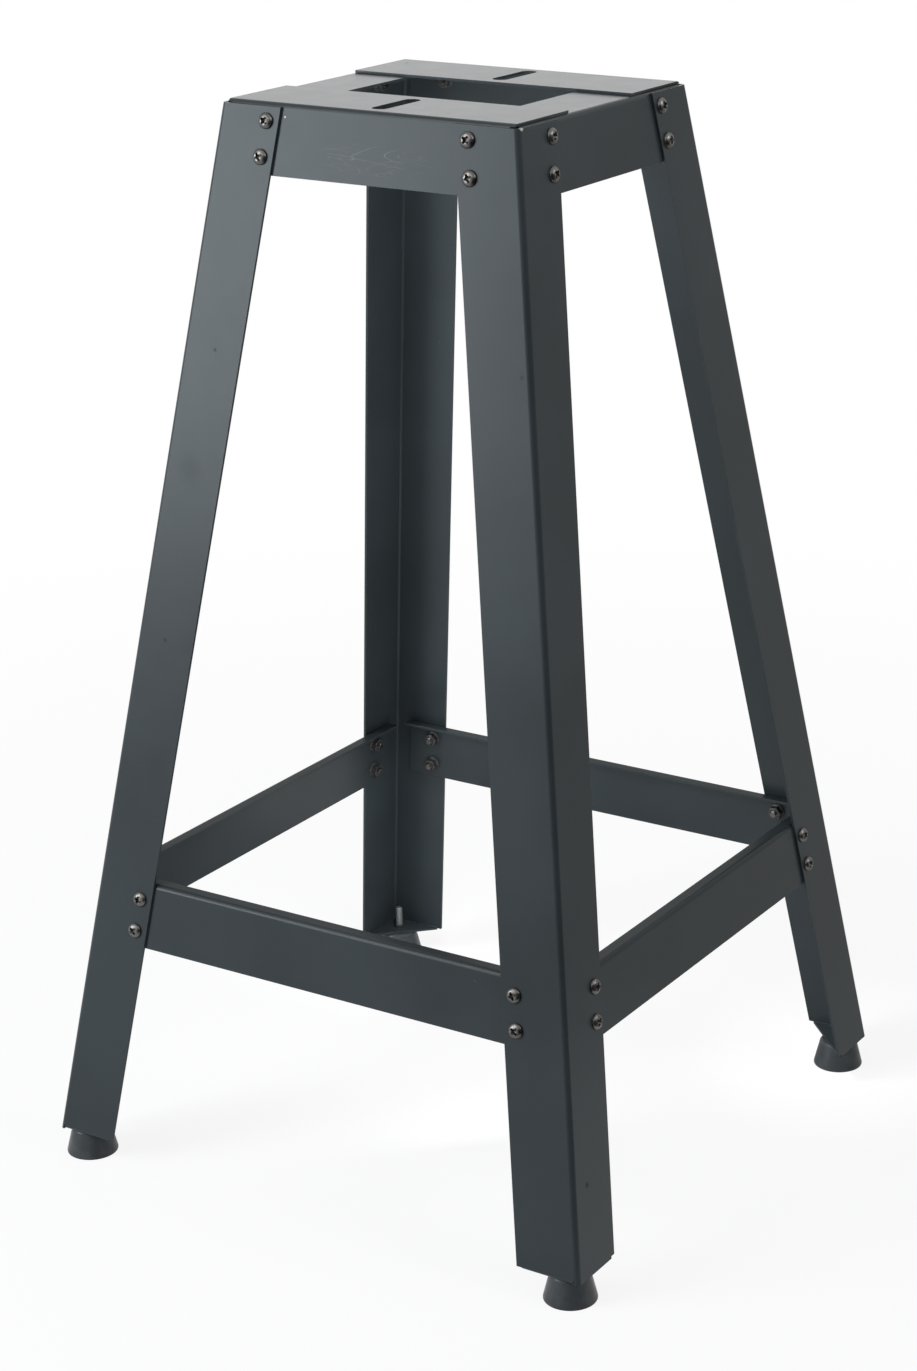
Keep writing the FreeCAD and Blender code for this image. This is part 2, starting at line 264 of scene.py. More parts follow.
@dataclass(frozen=True)
class PowderCoat:
    """Satin powder coat on sheet steel, with orange peel, thin edges, rub marks, a little dust and two
    painted highlights.
    """

    colour: Colour = (0.0246, 0.0314, 0.0347)
    colour_drift: float = 0.14  # half spread of its brightness
    drift_scale: float = 7.0  # cells per metre of the slow drift of colour and gloss
    cloud_scale: float = 55.0  # the same for the finer clouds in the gloss
    thin_colour: Colour = (0.045, 0.050, 0.053)  # colour where the coat has drawn off an edge
    rub_colour: Colour = (0.150, 0.156, 0.155)  # colour of dry scuffs and fine scratches
    painted_highlight_colour: Colour = (0.52, 0.53, 0.53)  # pale colour of the painted highlights on two edges
    roughness: float = 0.30
    gloss_drift: float = 0.012  # half spread of the roughness
    scuff_dullness: float = 0.25  # added roughness of a scuff
    stain_dullness: float = 0.30  # added roughness of a dull mark
    stain_shade: float = 0.4  # brightness of a dull mark, as a share of the coat's
    edge_gloss: float = 0.06  # roughness that a thin edge loses
    specular: float = 0.18  # strength of the reflection
    peel_scale: float = 750.0  # waves of the orange peel per metre
    peel_depth: float = 0.010 * MM  # height of the orange peel
    wave_scale: float = 28.0  # slow waves of the sheet per metre
    wave_depth: float = 0.03 * MM  # height of the slow waves
    rub_place: Place = (0.006, -0.117, 0.767)  # middle of the scratched patch on the front apron
    rub_height: float = 0.013  # half height of that patch
    rub_width: float = 0.052  # its half width
    rub_layers: tuple[Pair, ...] = ((0.06, 62.0), (-0.05, 85.0), (0.01, 110.0))  # turn and scale of lines
    dust_scale: float = 130.0  # cells per metre, of which few hold dust
    stains: tuple[tuple[Place, float, float], ...] = (  # dull marks: place, radius and strength
        ((-0.1512, -0.1707, 0.4139), 2.4 * MM, 0.9),
        ((0.1371, -0.1375, 0.6372), 2.0 * MM, 0.7),
        ((0.2232, -0.2017, 0.0860), 3.0 * MM, 0.9),
        ((-0.1041, 0.0914, 0.8000), 2.0 * MM, 0.6),
        ((-0.1177, -0.1390, 0.6269), 1.8 * MM, 0.5),
        ((-0.1352, -0.1520, 0.5397), 14.0 * MM, 0.12),
    )
    painted_highlights: tuple[tuple[Place, float], ...] = (  # painted highlights, pale spots on two edges: place and radius
        ((-0.0683, -0.1127, 0.7909), 0.8 * MM),
        ((0.1208, -0.1098, 0.7972), 2.2 * MM),
    )

    def material(self) -> Material:
        """Builds the material.

        Returns:
            The paint.
        """
        shader = Shader("satin_powder_coat")
        drift = shader.noise(self.drift_scale, 3.0)
        cloud = shader.noise(self.cloud_scale)
        darker = self.shade(1.0 - self.colour_drift)
        lighter = self.shade(1.0 + self.colour_drift)
        colour = shader.mix(shader.remap(drift, *MOST_NOISE), darker, lighter)
        edge = self.thin_edges(shader)
        scuffs = shader.highest((self.scuffs(shader), self.swirls(shader)))
        stained = self.stained(shader)
        layers = (
            (edge, self.thin_colour),
            (scuffs, self.rub_colour),
            (self.dust(shader), self.rub_colour),
            (stained, self.shade(self.stain_shade)),
            # painted highlights: two pale spots on edges stand in for light caught there
            (self.highlight_spots(shader), self.painted_highlight_colour),
        )
        for share, layer in layers:
            colour = shader.mix(share, colour, layer)
        shader.set("Base Color", colour)

        low = self.roughness - self.gloss_drift
        high = self.roughness + self.gloss_drift
        clouds = shader.maths("ADD", shader.product(drift, 0.5), shader.product(cloud, 0.5))
        roughness = shader.remap(clouds, 0.38, 0.62, low, high)
        changes = ((scuffs, self.scuff_dullness), (stained, self.stain_dullness), (edge, -self.edge_gloss))
        for share, change in changes:
            roughness = shader.maths("ADD", roughness, shader.product(share, change))
        shader.set("Roughness", roughness)
        shader.set("Specular IOR Level", self.specular)
        shader.set("Normal", self.relief(shader))
        return shader.material

    def shade(self, share: float) -> Colour:
        """The coat's colour, made darker or lighter."""
        return tuple(share * part for part in self.colour)

    def thin_edges(self, shader: Shader) -> Socket:
        """Marks the softened edges, where the coat is thin in patches."""
        edge = shader.node("ShaderNodeAttribute", attribute_name="edge").outputs["Fac"]
        return shader.product(edge, shader.remap(shader.noise(160.0, 4.0), 0.42, 0.62, 0.15, 0.85))

    def scuffs(self, shader: Shader) -> Socket:
        """Marks faint dry scuffs from handling, in sparse patches.

        Args:
            shader: Material to add to.

        Returns:
            Share of scuffed coat.
        """
        streaks = shader.noise(900.0, 3.0, shader.stretched((0.10, 0.55, 1.0), 0.35))
        fine = shader.remap(streaks, 0.62, 0.74)
        patches = shader.remap(shader.noise(11.0, 1.0), 0.60, 0.72)
        return shader.product(fine, patches, 0.06)

    def swirls(self, shader: Shader) -> Socket:
        """Marks the fine curved scratches on the middle of the front apron.

        Args:
            shader: Material to add to.

        Returns:
            Share of scratched coat.
        """
        flat = self.rub_height / self.rub_width
        layers = []
        for turn, scale in self.rub_layers:
            field = shader.noise(scale, 0.5, shader.stretched((0.17, 0.6, 1.0), turn))
            waves = shader.maths("FRACT", shader.product(field, 9.0))
            offset = shader.maths("ABSOLUTE", shader.maths("SUBTRACT", waves, 0.5))
            line = shader.remap(offset, 0.0, 0.045, 1.0, 0.0)
            broken = shader.remap(shader.noise(0.9 * scale, 1.0), 0.46, 0.58)
            layers.append(shader.product(line, broken))
        middle = (flat * self.rub_place[0], *self.rub_place[1:])
        gap = shader.distance(shader.stretched((flat, 1.0, 1.0)), middle)
        patch = shader.remap(gap, 0.5 * self.rub_height, self.rub_height, 1.0, 0.0)
        return shader.product(shader.highest(layers), patch, 0.85)

    def stained(self, shader: Shader) -> Socket:
        """Marks the small dull spots."""
        spots = [shader.product(shader.near(at, 0.3 * wide, wide), share) for at, wide, share in self.stains]
        return shader.highest(spots)

    def highlight_spots(self, shader: Shader) -> Socket:
        """Marks the two spots on edges that are painted pale as highlights."""
        return shader.highest([shader.near(at, 0.6 * wide, wide) for at, wide in self.painted_highlights])

    def dust(self, shader: Shader) -> Socket:
        """Marks single specks of dust.

        Args:
            shader: Material to add to.

        Returns:
            Share of dust.
        """
        cells = shader.node("ShaderNodeTexVoronoi", {"Vector": shader.place, "Scale": self.dust_scale})
        speck = shader.remap(cells.outputs["Distance"], 0.035, 0.060, 1.0, 0.0)
        lot = shader.node("ShaderNodeSeparateColor", {"Color": cells.outputs["Color"]}).outputs["Red"]
        chosen = shader.remap(lot, 0.965, 0.970)
        return shader.product(speck, chosen, 0.6)

    def relief(self, shader: Shader) -> Socket:
        """Adds the orange peel and the slow waves of the sheet."""
        normal = shader.bump(shader.noise(self.peel_scale, 1.5), self.peel_depth)
        return shader.bump(shader.noise(self.wave_scale, 1.0), self.wave_depth, Normal=normal)


@dataclass(frozen=True)
class PlatedSteel:
    """Plated steel of a small fastener."""

    name: str
    colour: Colour  # mean colour of the plating
    tint: Colour  # colour that it drifts to
    roughness: float
    metallic: float = 1.0  # share of bare metal in the finish
    grain: float = 0.004 * MM  # depth of the fine grain

    def material(self) -> Material:
        """Builds the material.

        Returns:
            The plating.
        """
        shader = Shader(self.name)
        tinted = shader.remap(shader.noise(260.0, 3.0), 0.36, 0.64)
        shader.set("Base Color", shader.mix(tinted, self.colour, self.tint))
        shader.set("Metallic", self.metallic)
        low = self.roughness - 0.06
        high = self.roughness + 0.10
        shader.set("Roughness", shader.remap(shader.noise(700.0, 3.0), *MOST_NOISE, low, high))
        shader.set("Normal", shader.bump(shader.noise(2600.0), self.grain))
        return shader.material


@dataclass(frozen=True)
class MouldedRubber:
    """Dull black moulded rubber with pale bloom and a fine grain."""

    colour: Colour = (0.0270, 0.0320, 0.0350)  # colour of clean rubber
    bloom: Colour = (0.046, 0.052, 0.056)  # colour of its dry bloom
    roughness: float = 0.33
    specular: float = 0.25  # strength of the reflection
    grain: float = 0.012 * MM  # depth of the fine grain

    def material(self) -> Material:
        """Builds the material.

        Returns:
            The rubber.
        """
        shader = Shader("moulded_rubber")
        bloom = shader.remap(shader.noise(90.0, 4.0), 0.42, 0.66, 0.0, 0.7)
        shader.set("Base Color", shader.mix(bloom, self.colour, self.bloom))
        low = self.roughness - 0.05
        high = self.roughness + 0.08
        shader.set("Roughness", shader.remap(shader.noise(240.0, 3.0), *MOST_NOISE, low, high))
        shader.set("Specular IOR Level", self.specular)
        shader.set("Normal", shader.bump(shader.noise(1500.0), self.grain))
        return shader.material


def rounded_section(corners: Sequence[Bend], steps: int) -> list[Pair]:
    """Rounds the corners of a turned section.

    Args:
        corners: The section's corners in order, of which the first and last are sharp.
        steps: Flats in each rounded corner.

    Returns:
        Radius and height of each point.
    """
    points = []
    for index, (radius, height, rounding) in enumerate(corners):
        if rounding == 0.0:
            points.append((radius, height))
            continue
        corner = Vector((radius, height))
        before = (Vector(corners[index - 1][:2]) - corner).normalized()
        after = (Vector(corners[index + 1][:2]) - corner).normalized()
        half = before.angle(after) / 2
        centre = corner + (before + after).normalized() * (rounding / math.sin(half))
        tangent = rounding / math.tan(half)
        start = corner + before * tangent - centre
        sweep = start.angle_signed(corner + after * tangent - centre)
        for step in range(steps + 1):
            spoke = Matrix.Rotation(-sweep * step / steps, 2) @ start
            points.append(tuple(centre + spoke))
    return points


def made_mesh(work: Work, name: str) -> Mesh:
    """Turns a work mesh into a finished one.

    Args:
        work: Work mesh, which is freed.
        name: Name of the finished mesh.

    Returns:
        The finished mesh.
    """
    mesh = bpy.data.meshes.new(name)
    work.to_mesh(mesh)
    work.free()
    return mesh


@dataclass(frozen=True)
class Thread:
    """Right-hand screw thread with flat crests."""

    low: float  # height where it starts
    high: float  # height of its free end
    radius: float = 3.0 * MM  # radius of the crests
    pitch: float = 1.0 * MM  # rise of one turn
    chamfer: float = 0.8 * MM  # height of the lead-in at the free end
    crest: float = 0.125  # width of a crest, as a share of the pitch
    ramp: float = 0.3125  # the same of a flank

    @property
    def root(self) -> float:
        """Radius at the bottom of the thread."""
        return self.radius - 0.54 * self.pitch

    @property
    def stations(self) -> tuple[float, ...]:
        """Share of a pitch at each corner of the section, from the start of a crest."""
        return (0.0, self.crest, self.crest + self.ramp, 1.0 - self.ramp)

    def point(self, pitches: float, turn: float) -> Pair:
        """Place of one point of the thread.

        Args:
            pitches: Pitches above the lowest row of points.
            turn: Share of a turn round the axis.

        Returns:
            Its radius and height.
        """
        height = self.low + self.pitch * (pitches - 1.0 + turn)
        height = min(max(height, self.low), self.high)
        share = ((height - self.low) / self.pitch - turn) % 1.0
        depth = max(min(share - self.crest, 1.0 - share, self.ramp), 0.0) / self.ramp
        lead_in = self.radius - self.chamfer + (self.high - height)
        return min(self.radius - depth * (self.radius - self.root), lead_in), height


class Turning:
    """Closed mesh turned about Z, built ring by ring from its lower end."""

    def __init__(self, steps: int, section: Iterable[Pair]) -> None:
        """Starts a mesh with a ring for each point of a section.

        Args:
            steps: Flats round the axis.
            section: Radius and height of each point, from the lower end.
        """
        self.mesh = bmesh.new()
        self.steps = steps
        self.last: list[Vertex] = []
        for radius, height in section:
            self.ring(radius, height)

    def point(self, radius: float, step: int, height: float) -> Vertex:
        """Adds one point, at a step round the axis."""
        angle = 2 * math.pi * step / self.steps
        return self.mesh.verts.new((radius * math.cos(angle), radius * math.sin(angle), height))

    def ring(self, radius: float, height: float) -> None:
        """Adds a ring, or one point where the radius is 0, and joins it to the ring below."""
        count = self.steps if radius else 1
        self.join([self.point(radius, step, height) for step in range(count)])

    def join(self, new: list[Vertex]) -> None:
        """Joins a ring to the one below.

        Args:
            new: Vertices of the upper ring, or its one point.
        """
        if self.last:
            for step in range(self.steps):
                following = (step + 1) % self.steps
                below = [self.last[i % len(self.last)] for i in (step, following)]
                above = [new[i % len(new)] for i in (following, step)]
                corners = list(dict.fromkeys(below + above))
                if len(corners) > 2:
                    self.mesh.faces.new(corners)
        self.last = new

    def thread(self, thread: Thread) -> None:
        """Adds a thread above the last ring, with its lead-in at the upper end.

        Args:
            thread: Form of the thread.
        """
        per_turn = len(thread.stations)
        turns = math.ceil((thread.high - thread.low) / thread.pitch) + 2
        rows = []
        for row in range(turns * per_turn):
            pitches = row // per_turn + thread.stations[row % per_turn]
            points = [thread.point(pitches, step / self.steps) for step in range(self.steps)]
            rows.append([self.point(radius, step, height) for step, (radius, height) in enumerate(points)])
        self.join(rows[0])
        for row in range(len(rows) - per_turn - 1):
            for step in range(self.steps):
                beside, following = (row, step + 1) if step + 1 < self.steps else (row + per_turn, 0)
                lower = (rows[row][step], rows[beside][following])
                self.mesh.faces.new((*lower, rows[beside + 1][following], rows[row + 1][step]))
        self.last = rows[-per_turn - 1]

    def finished(self, name: str) -> Mesh:
        """Closes the work.

        Args:
            name: Name of the mesh.

        Returns:
            The mesh, its faces pointing out.
        """
        bmesh.ops.remove_doubles(self.mesh, verts=self.mesh.verts, dist=0.1 * MERGE_DISTANCE)
        bmesh.ops.recalc_face_normals(self.mesh, faces=self.mesh.faces)
        return made_mesh(self.mesh, name)


def carved(mesh: Mesh, steps: Sequence[tuple[str, Mesh]]) -> Mesh:
    """Applies cuts and joins to a mesh and takes out the slivers that they leave.

    Args:
        mesh: Mesh to start from.
        steps: Blender's name of each operation and the mesh that it uses.

    Returns:
        The finished mesh.
    """
    piece = new_object(mesh.name + "_work", mesh)
    tools = []
    for operation, tool_mesh in steps:
        tool = new_object(tool_mesh.name + "_tool", tool_mesh)
        modifier = piece.modifiers.new(operation, "BOOLEAN")
        modifier.operation = operation
        modifier.object = tool
        modifier.solver = "EXACT"
        tools.append(tool)
    result = evaluated(piece)
    for used in (piece, *tools):
        bpy.data.objects.remove(used)
    work = bmesh.new()
    work.from_mesh(result)
    bmesh.ops.remove_doubles(work, verts=work.verts, dist=MERGE_DISTANCE)
    bmesh.ops.dissolve_degenerate(work, edges=work.edges, dist=MERGE_DISTANCE)
    bmesh.ops.triangulate(work, faces=[face for face in work.faces if len(face.verts) > 4])
    bmesh.ops.dissolve_degenerate(work, edges=work.edges, dist=MERGE_DISTANCE)
    return made_mesh(work, result.name)


def new_object(name: str, data: bpy.types.ID) -> Piece:
    """Adds an object to the scene.

    Args:
        name: Name of the object.
        data: Its mesh, lamp or camera.

    Returns:
        The object.
    """
    piece = bpy.data.objects.new(name, data)
    bpy.context.scene.collection.objects.link(piece)
    return piece


def evaluated(piece: Piece) -> Mesh:
    """A new mesh of the object with its modifiers applied."""
    bpy.context.view_layer.update()
    return bpy.data.meshes.new_from_object(piece.evaluated_get(bpy.context.evaluated_depsgraph_get()))


def shaded(piece: Piece, crease: float) -> None:
    """Shades a piece smooth, with flat faces kept flat and corners kept sharp.

    Args:
        piece: Object to shade.
        crease: Angle above which an edge stays sharp.
    """
    piece.data.shade_smooth()
    piece.data.set_sharp_from_angle(angle=crease)
    modifier = piece.modifiers.new("flat faces", "WEIGHTED_NORMAL")
    modifier.mode = "FACE_AREA"
    modifier.keep_sharp = True
    mesh = evaluated(piece)
    mesh.name = piece.name
    piece.modifiers.clear()
    piece.data = mesh


def copies(name: str, mesh: Mesh, places: Iterable[Matrix]) -> Piece:
    """One object that holds a copy of a mesh at each place.

    Args:
        name: Name of the object.
        mesh: Mesh to copy.
        places: Where each copy goes.

    Returns:
        The object.
    """
    work = bmesh.new()
    for place in places:
        copy = mesh.copy()
        copy.transform(place)
        work.from_mesh(copy)
        bpy.data.meshes.remove(copy)
    return new_object(name, made_mesh(work, name))


def hand_over(piece: Piece, body: str, node: str, material: Material) -> None:
    """Dresses a finished piece and puts it in its node's place.

    Args:
        piece: Finished object.
        body: Body that it rides on.
        node: CAD node that it stands for.
        material: Its finish.
    """
    piece.data.materials.clear()
    piece.data.materials.append(material)
    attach(piece, body)
    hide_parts(node)
    log.info("%s: %d faces on %s, for %s", piece.name, len(piece.data.polygons), body, node)


@dataclass
class FoldedSheets:
    """Sheet steel pieces of one kind, with their cut edges softened as paint leaves them."""

    frame: dict
    paint: Material  # their finish
    kind: str  # first part of the nodes' names
    places: Sequence[Enum]  # the rest of each node's name
    edge_radius: float = 0.22 * MM  # radius of the softened edges
    edge_steps: int = 2  # flats across a softened edge
    sharp_angle: float = math.radians(35)  # least angle of an edge that is softened
    crisp_below: float = 0.0  # height under which edges stay crisp, as on a small folded tab

    def build(self) -> None:
        """Makes every piece of this kind."""
        for place in self.places:
            node = f"{self.kind}_{place.value}"
            piece = new_object(f"painted_{node}", self.softened(node))
            shaded(piece, crease=math.radians(40))
            hand_over(piece, "frame", node, self.paint)

    def softened(self, node: str) -> Mesh:
        """Copies a node's shape and rounds its sharp edges.

        Args:
            node: CAD node to copy.

        Returns:
            The softened mesh, with its edge faces marked.
        """
        work = bmesh.new()
        work.from_mesh(self.frame["nodes"][node].data)
        marks = work.faces.layers.float.new("edge")
        bmesh.ops.remove_doubles(work, verts=work.verts, dist=MERGE_DISTANCE)
        bmesh.ops.dissolve_limit(work, angle_limit=FLAT_ANGLE, verts=work.verts, edges=work.edges)
        sharp = [edge for edge in work.edges if self.is_soft(edge)]
        form = {"offset_type": "OFFSET", "profile": 0.5, "affect": "EDGES"}
        result = bmesh.ops.bevel(work, geom=sharp, offset=self.edge_radius, segments=self.edge_steps, **form)
        for face in result["faces"]:
            face[marks] = 1.0
        mesh = made_mesh(work, node)
        for name in ("custom_normal", "sharp_edge", "sharp_face"):
            if name in mesh.attributes:
                mesh.attributes.remove(mesh.attributes[name])
        return mesh

    def is_soft(self, edge: bmesh.types.BMEdge) -> bool:
        """Tells whether an edge is one that gets softened."""
        high = max(vertex.co.z for vertex in edge.verts)
        return high > self.crisp_below and edge.calc_face_angle(0.0) > self.sharp_angle


def islands(work: Work) -> list[list[Face]]:
    """Splits a mesh into its separate solids.

    Args:
        work: Mesh to split.

    Returns:
        The faces of each solid.
    """
    left = set(work.faces)
    found = []
    while left:
        island = []
        front = [left.pop()]
        while front:
            face = front.pop()
            island.append(face)
            beside = {other for edge in face.edges for other in edge.link_faces} & left
            left -= beside
            front.extend(beside)
        found.append(island)
    return found


def bearing_seat(faces: Iterable[Face]) -> Matrix:
    """Finds where a fastener bears on the sheet, which is at its widest flat.

    Args:
        faces: Triangles of the solid.

    Returns:
        The seat, with its origin in the middle of that flat and +Z into the fastener.
    """
    flats: dict[tuple, list[Face]] = {}
    for face in faces:
        offset = face.normal.dot(face.verts[0].co)
        key = (*(round(part, 2) for part in face.normal), round(offset / (0.1 * MM)))
        flats.setdefault(key, []).append(face)
    widest = max(flats.values(), key=lambda flat: sum(face.calc_area() for face in flat))
    area = sum(face.calc_area() for face in widest)
    centre = sum((face.calc_center_median() * face.calc_area() for face in widest), Vector()) / area
    normal = sum((face.normal * face.calc_area() for face in widest), Vector()).normalized()
    turn = Vector((0.0, 0.0, 1.0)).rotation_difference(-normal).to_matrix().to_4x4()
    return Matrix.Translation(centre) @ turn


@dataclass
class Fasteners:
    """Groups of four equal fasteners, one group to each side and tier."""

    frame: dict
    finish: Material  # plating of the fasteners
    steps: int = 40  # flats round a fastener
    seed: int = 7  # start of the random turns

    kind: ClassVar[str]
    slot: ClassVar[Slot]

    def build(self) -> None:
        """Makes every group."""
        chance = random.Random(self.seed)
        mesh = self.mesh()
        for tier in Tier:
            for side in Side:
                node = f"{tier.value}_{self.kind}_{side.value}"
                places = []
                for seat in self.seats(node):
                    places.append(seat @ Matrix.Rotation(chance.uniform(0, 2 * math.pi), 4, "Z"))
                piece = copies(f"plated_{node}", mesh, places)
                shaded(piece, crease=math.radians(32))
                hand_over(piece, "frame", node, self.finish)
        bpy.data.meshes.remove(mesh)

    def mesh(self) -> Mesh:
        """Mesh of one fastener, its bearing face at the origin."""
        raise NotImplementedError

    def seats(self, node: str) -> list[Matrix]:
        """Reads where the fasteners of a group bear.

        Args:
            node: CAD node of the group.

        Returns:
            The seats, sorted so that their order never changes.
        """
        work = bmesh.new()
        work.from_mesh(self.frame["nodes"][node].data)
        bmesh.ops.remove_doubles(work, verts=work.verts, dist=MERGE_DISTANCE)
        found = [bearing_seat(island) for island in islands(work)]
        work.free()
        return sorted(found, key=lambda seat: tuple(round(part, 4) for part in seat.translation))


@dataclass
class Screws(Fasteners):
    """Pan-head screws with a cross recess and a thread on the end that shows past the nut."""

    head_radius: float = 5.7 * MM
    head_height: float = 3.4 * MM
    rim: float = 1.0 * MM  # height of the straight rim under the dome
    crown: float = 2.0 * MM  # radius of the head's flat crown
    length: float = 12.0 * MM  # length under the head
    threaded: float = 3.4 * MM  # length of modelled thread at the tip
    recess_reach: float = 3.2 * MM  # half span of the cross recess at the crown
    recess_foot: float = 1.5 * MM  # the same at its bottom
    recess_width: float = 1.9 * MM  # width of a wing at the crown
    recess_depth: float = 2.7 * MM
    neck: float = 0.6 * MM  # height over which the shank narrows under the head
    flare: float = 0.4 * MM  # how much wider it is there than the root
    chamfer: float = 0.15 * MM  # cut off the rim's lower corner

    kind = "screws"
    slot = Slot.SCREW

    def mesh(self) -> Mesh:
        """Turns the screw and sinks the cross recess.

        Returns:
            The screw, with +Z out of its head.
        """
        thread = Thread(self.length - self.threaded, self.length)
        turning = Turning(self.steps, self.head_section())
        turning.ring(thread.root + self.flare, 0.0)
        turning.ring(thread.root, self.neck)
        turning.thread(thread)
        turning.ring(0.0, self.length)
        screw = turning.finished("pan_head_screw")
        screw.transform(Matrix.Rotation(math.pi, 4, "X"))
        return carved(screw, [("DIFFERENCE", self.recess())])

    def head_section(self) -> list[Pair]:
        """Half section of the head, from its crown down to its bearing face.

        Returns:
            Radius and height below the bearing face of each point, so heights here are negative.
        """
        steps = 8
        dome_height = self.head_height - self.rim
        dome_width = self.head_radius - self.crown
        dome_radius = (dome_width**2 + dome_height**2) / (2 * dome_height)
        reach = math.asin(dome_width / dome_radius)
        points = [(0.0, -self.head_height)]
        for step in range(steps):
            angle = reach * step / steps
            radius = self.crown + dome_radius * math.sin(angle)
            points.append((radius, -self.head_height + dome_radius * (1 - math.cos(angle))))
        rim = [(self.head_radius, -self.rim), (self.head_radius, -self.chamfer)]
        return points + rim + [(self.head_radius - self.chamfer, 0.0)]

    def recess(self) -> Mesh:
        """Cutter of the cross recess.

        Returns:
            A tapered cross, whose levels are given by height, reach and share of the wings' width.
        """
        slope = (self.recess_reach - self.recess_foot) / self.recess_depth
        over = 0.6 * MM
        bottom = self.head_height - self.recess_depth
        tip = (bottom - 0.5 * MM, 0.3 * MM, 0.25)
        foot = (bottom, self.recess_foot, 0.62)
        mouth = (self.head_height + over, self.recess_reach + slope * over, 1.08)
        half = self.recess_width / 2
        work = bmesh.new()
        rings = []
        for height, reach, share in (tip, foot, mouth):
            rings.append([work.verts.new(point) for point in self.cross(reach, share * half, height)])
        count = len(rings[0])
        for below, above in zip(rings, rings[1:]):
            for index in range(count):
                following = (index + 1) % count
                work.faces.new((below[index], below[following], above[following], above[index]))
        work.faces.new(rings[0][::-1])
        work.faces.new(rings[-1])
        bmesh.ops.recalc_face_normals(work, faces=work.faces)
        return made_mesh(work, "cross_recess")

    def cross(self, reach: float, half_width: float, height: float) -> list[Place]:
        """Outline of a cross.

        Args:
            reach: From the middle to a wing's tip.
            half_width: Half width of a wing.
            height: Height of the outline.

        Returns:
            Its points, with the inner corners cut across.
        """
        core = min(1.9 * half_width, 0.8 * reach)
        wing = ((reach, -half_width), (reach, half_width), (core, half_width), (half_width, core))
        points = []
        for quarter in range(4):
            turn = Matrix.Rotation(quarter * math.pi / 2, 2)
            for corner in wing:
                x, y = turn @ Vector(corner)
                points.append((x, y, height))
        return points


@dataclass
class Nuts(Fasteners):
    """Flanged hexagon nuts with chamfered corners."""

    height: float = 6.0 * MM
    across_flats: float = 10.0 * MM  # width over two opposite flats
    flange_radius: float = 6.5 * MM  # radius of the flange
    flange_rim: float = 0.7 * MM  # height of the flange's edge
    flange_height: float = 1.8 * MM  # height of the flange where it meets the flats
    bore: float = 3.02 * MM  # radius of the hole

    kind = "nuts"
    slot = Slot.NUT

    def mesh(self) -> Mesh:
        """Cuts the chamfered hexagon and joins the flange to it.

        Returns:
            The nut, with +Z out of its free end.
        """
        corner = self.across_flats / math.sqrt(3)
        foot, wide, top = 0.1 * MM, 1.1 * corner, self.height
        face = (0.46 * self.across_flats, top)
        chamfer = [(0.0, foot), (wide, foot), (wide, top - 1.1 * MM), face, (0.0, top)]
        flange = [
            (0.0, 0.0, 0.0),
            (self.flange_radius, 0.0, 0.15 * MM),
            (self.flange_radius, self.flange_rim, 0.2 * MM),
            (0.5 * self.across_flats, self.flange_height, 0.0),
            (0.0, self.flange_height, 0.0),
        ]
        countersink = 0.5 * MM
        mouth = (self.bore + top / 2 + countersink, 1.5 * top)
        bore = [(0.0, -top), (self.bore, -top), (self.bore, top - countersink), mouth, (0.0, 1.5 * top)]
        steps = (
            ("INTERSECT", Turning(self.steps, chamfer).finished("chamfer")),
            ("UNION", Turning(self.steps, rounded_section(flange, 3)).finished("flange")),
            ("DIFFERENCE", Turning(self.steps, bore).finished("bore")),
        )
        low, high = 0.05 * MM, top + 0.5 * MM
        hexagon = [(0.0, low), (corner, low), (corner, high), (0.0, high)]
        return carved(Turning(6, hexagon).finished("hexagon"), steps)


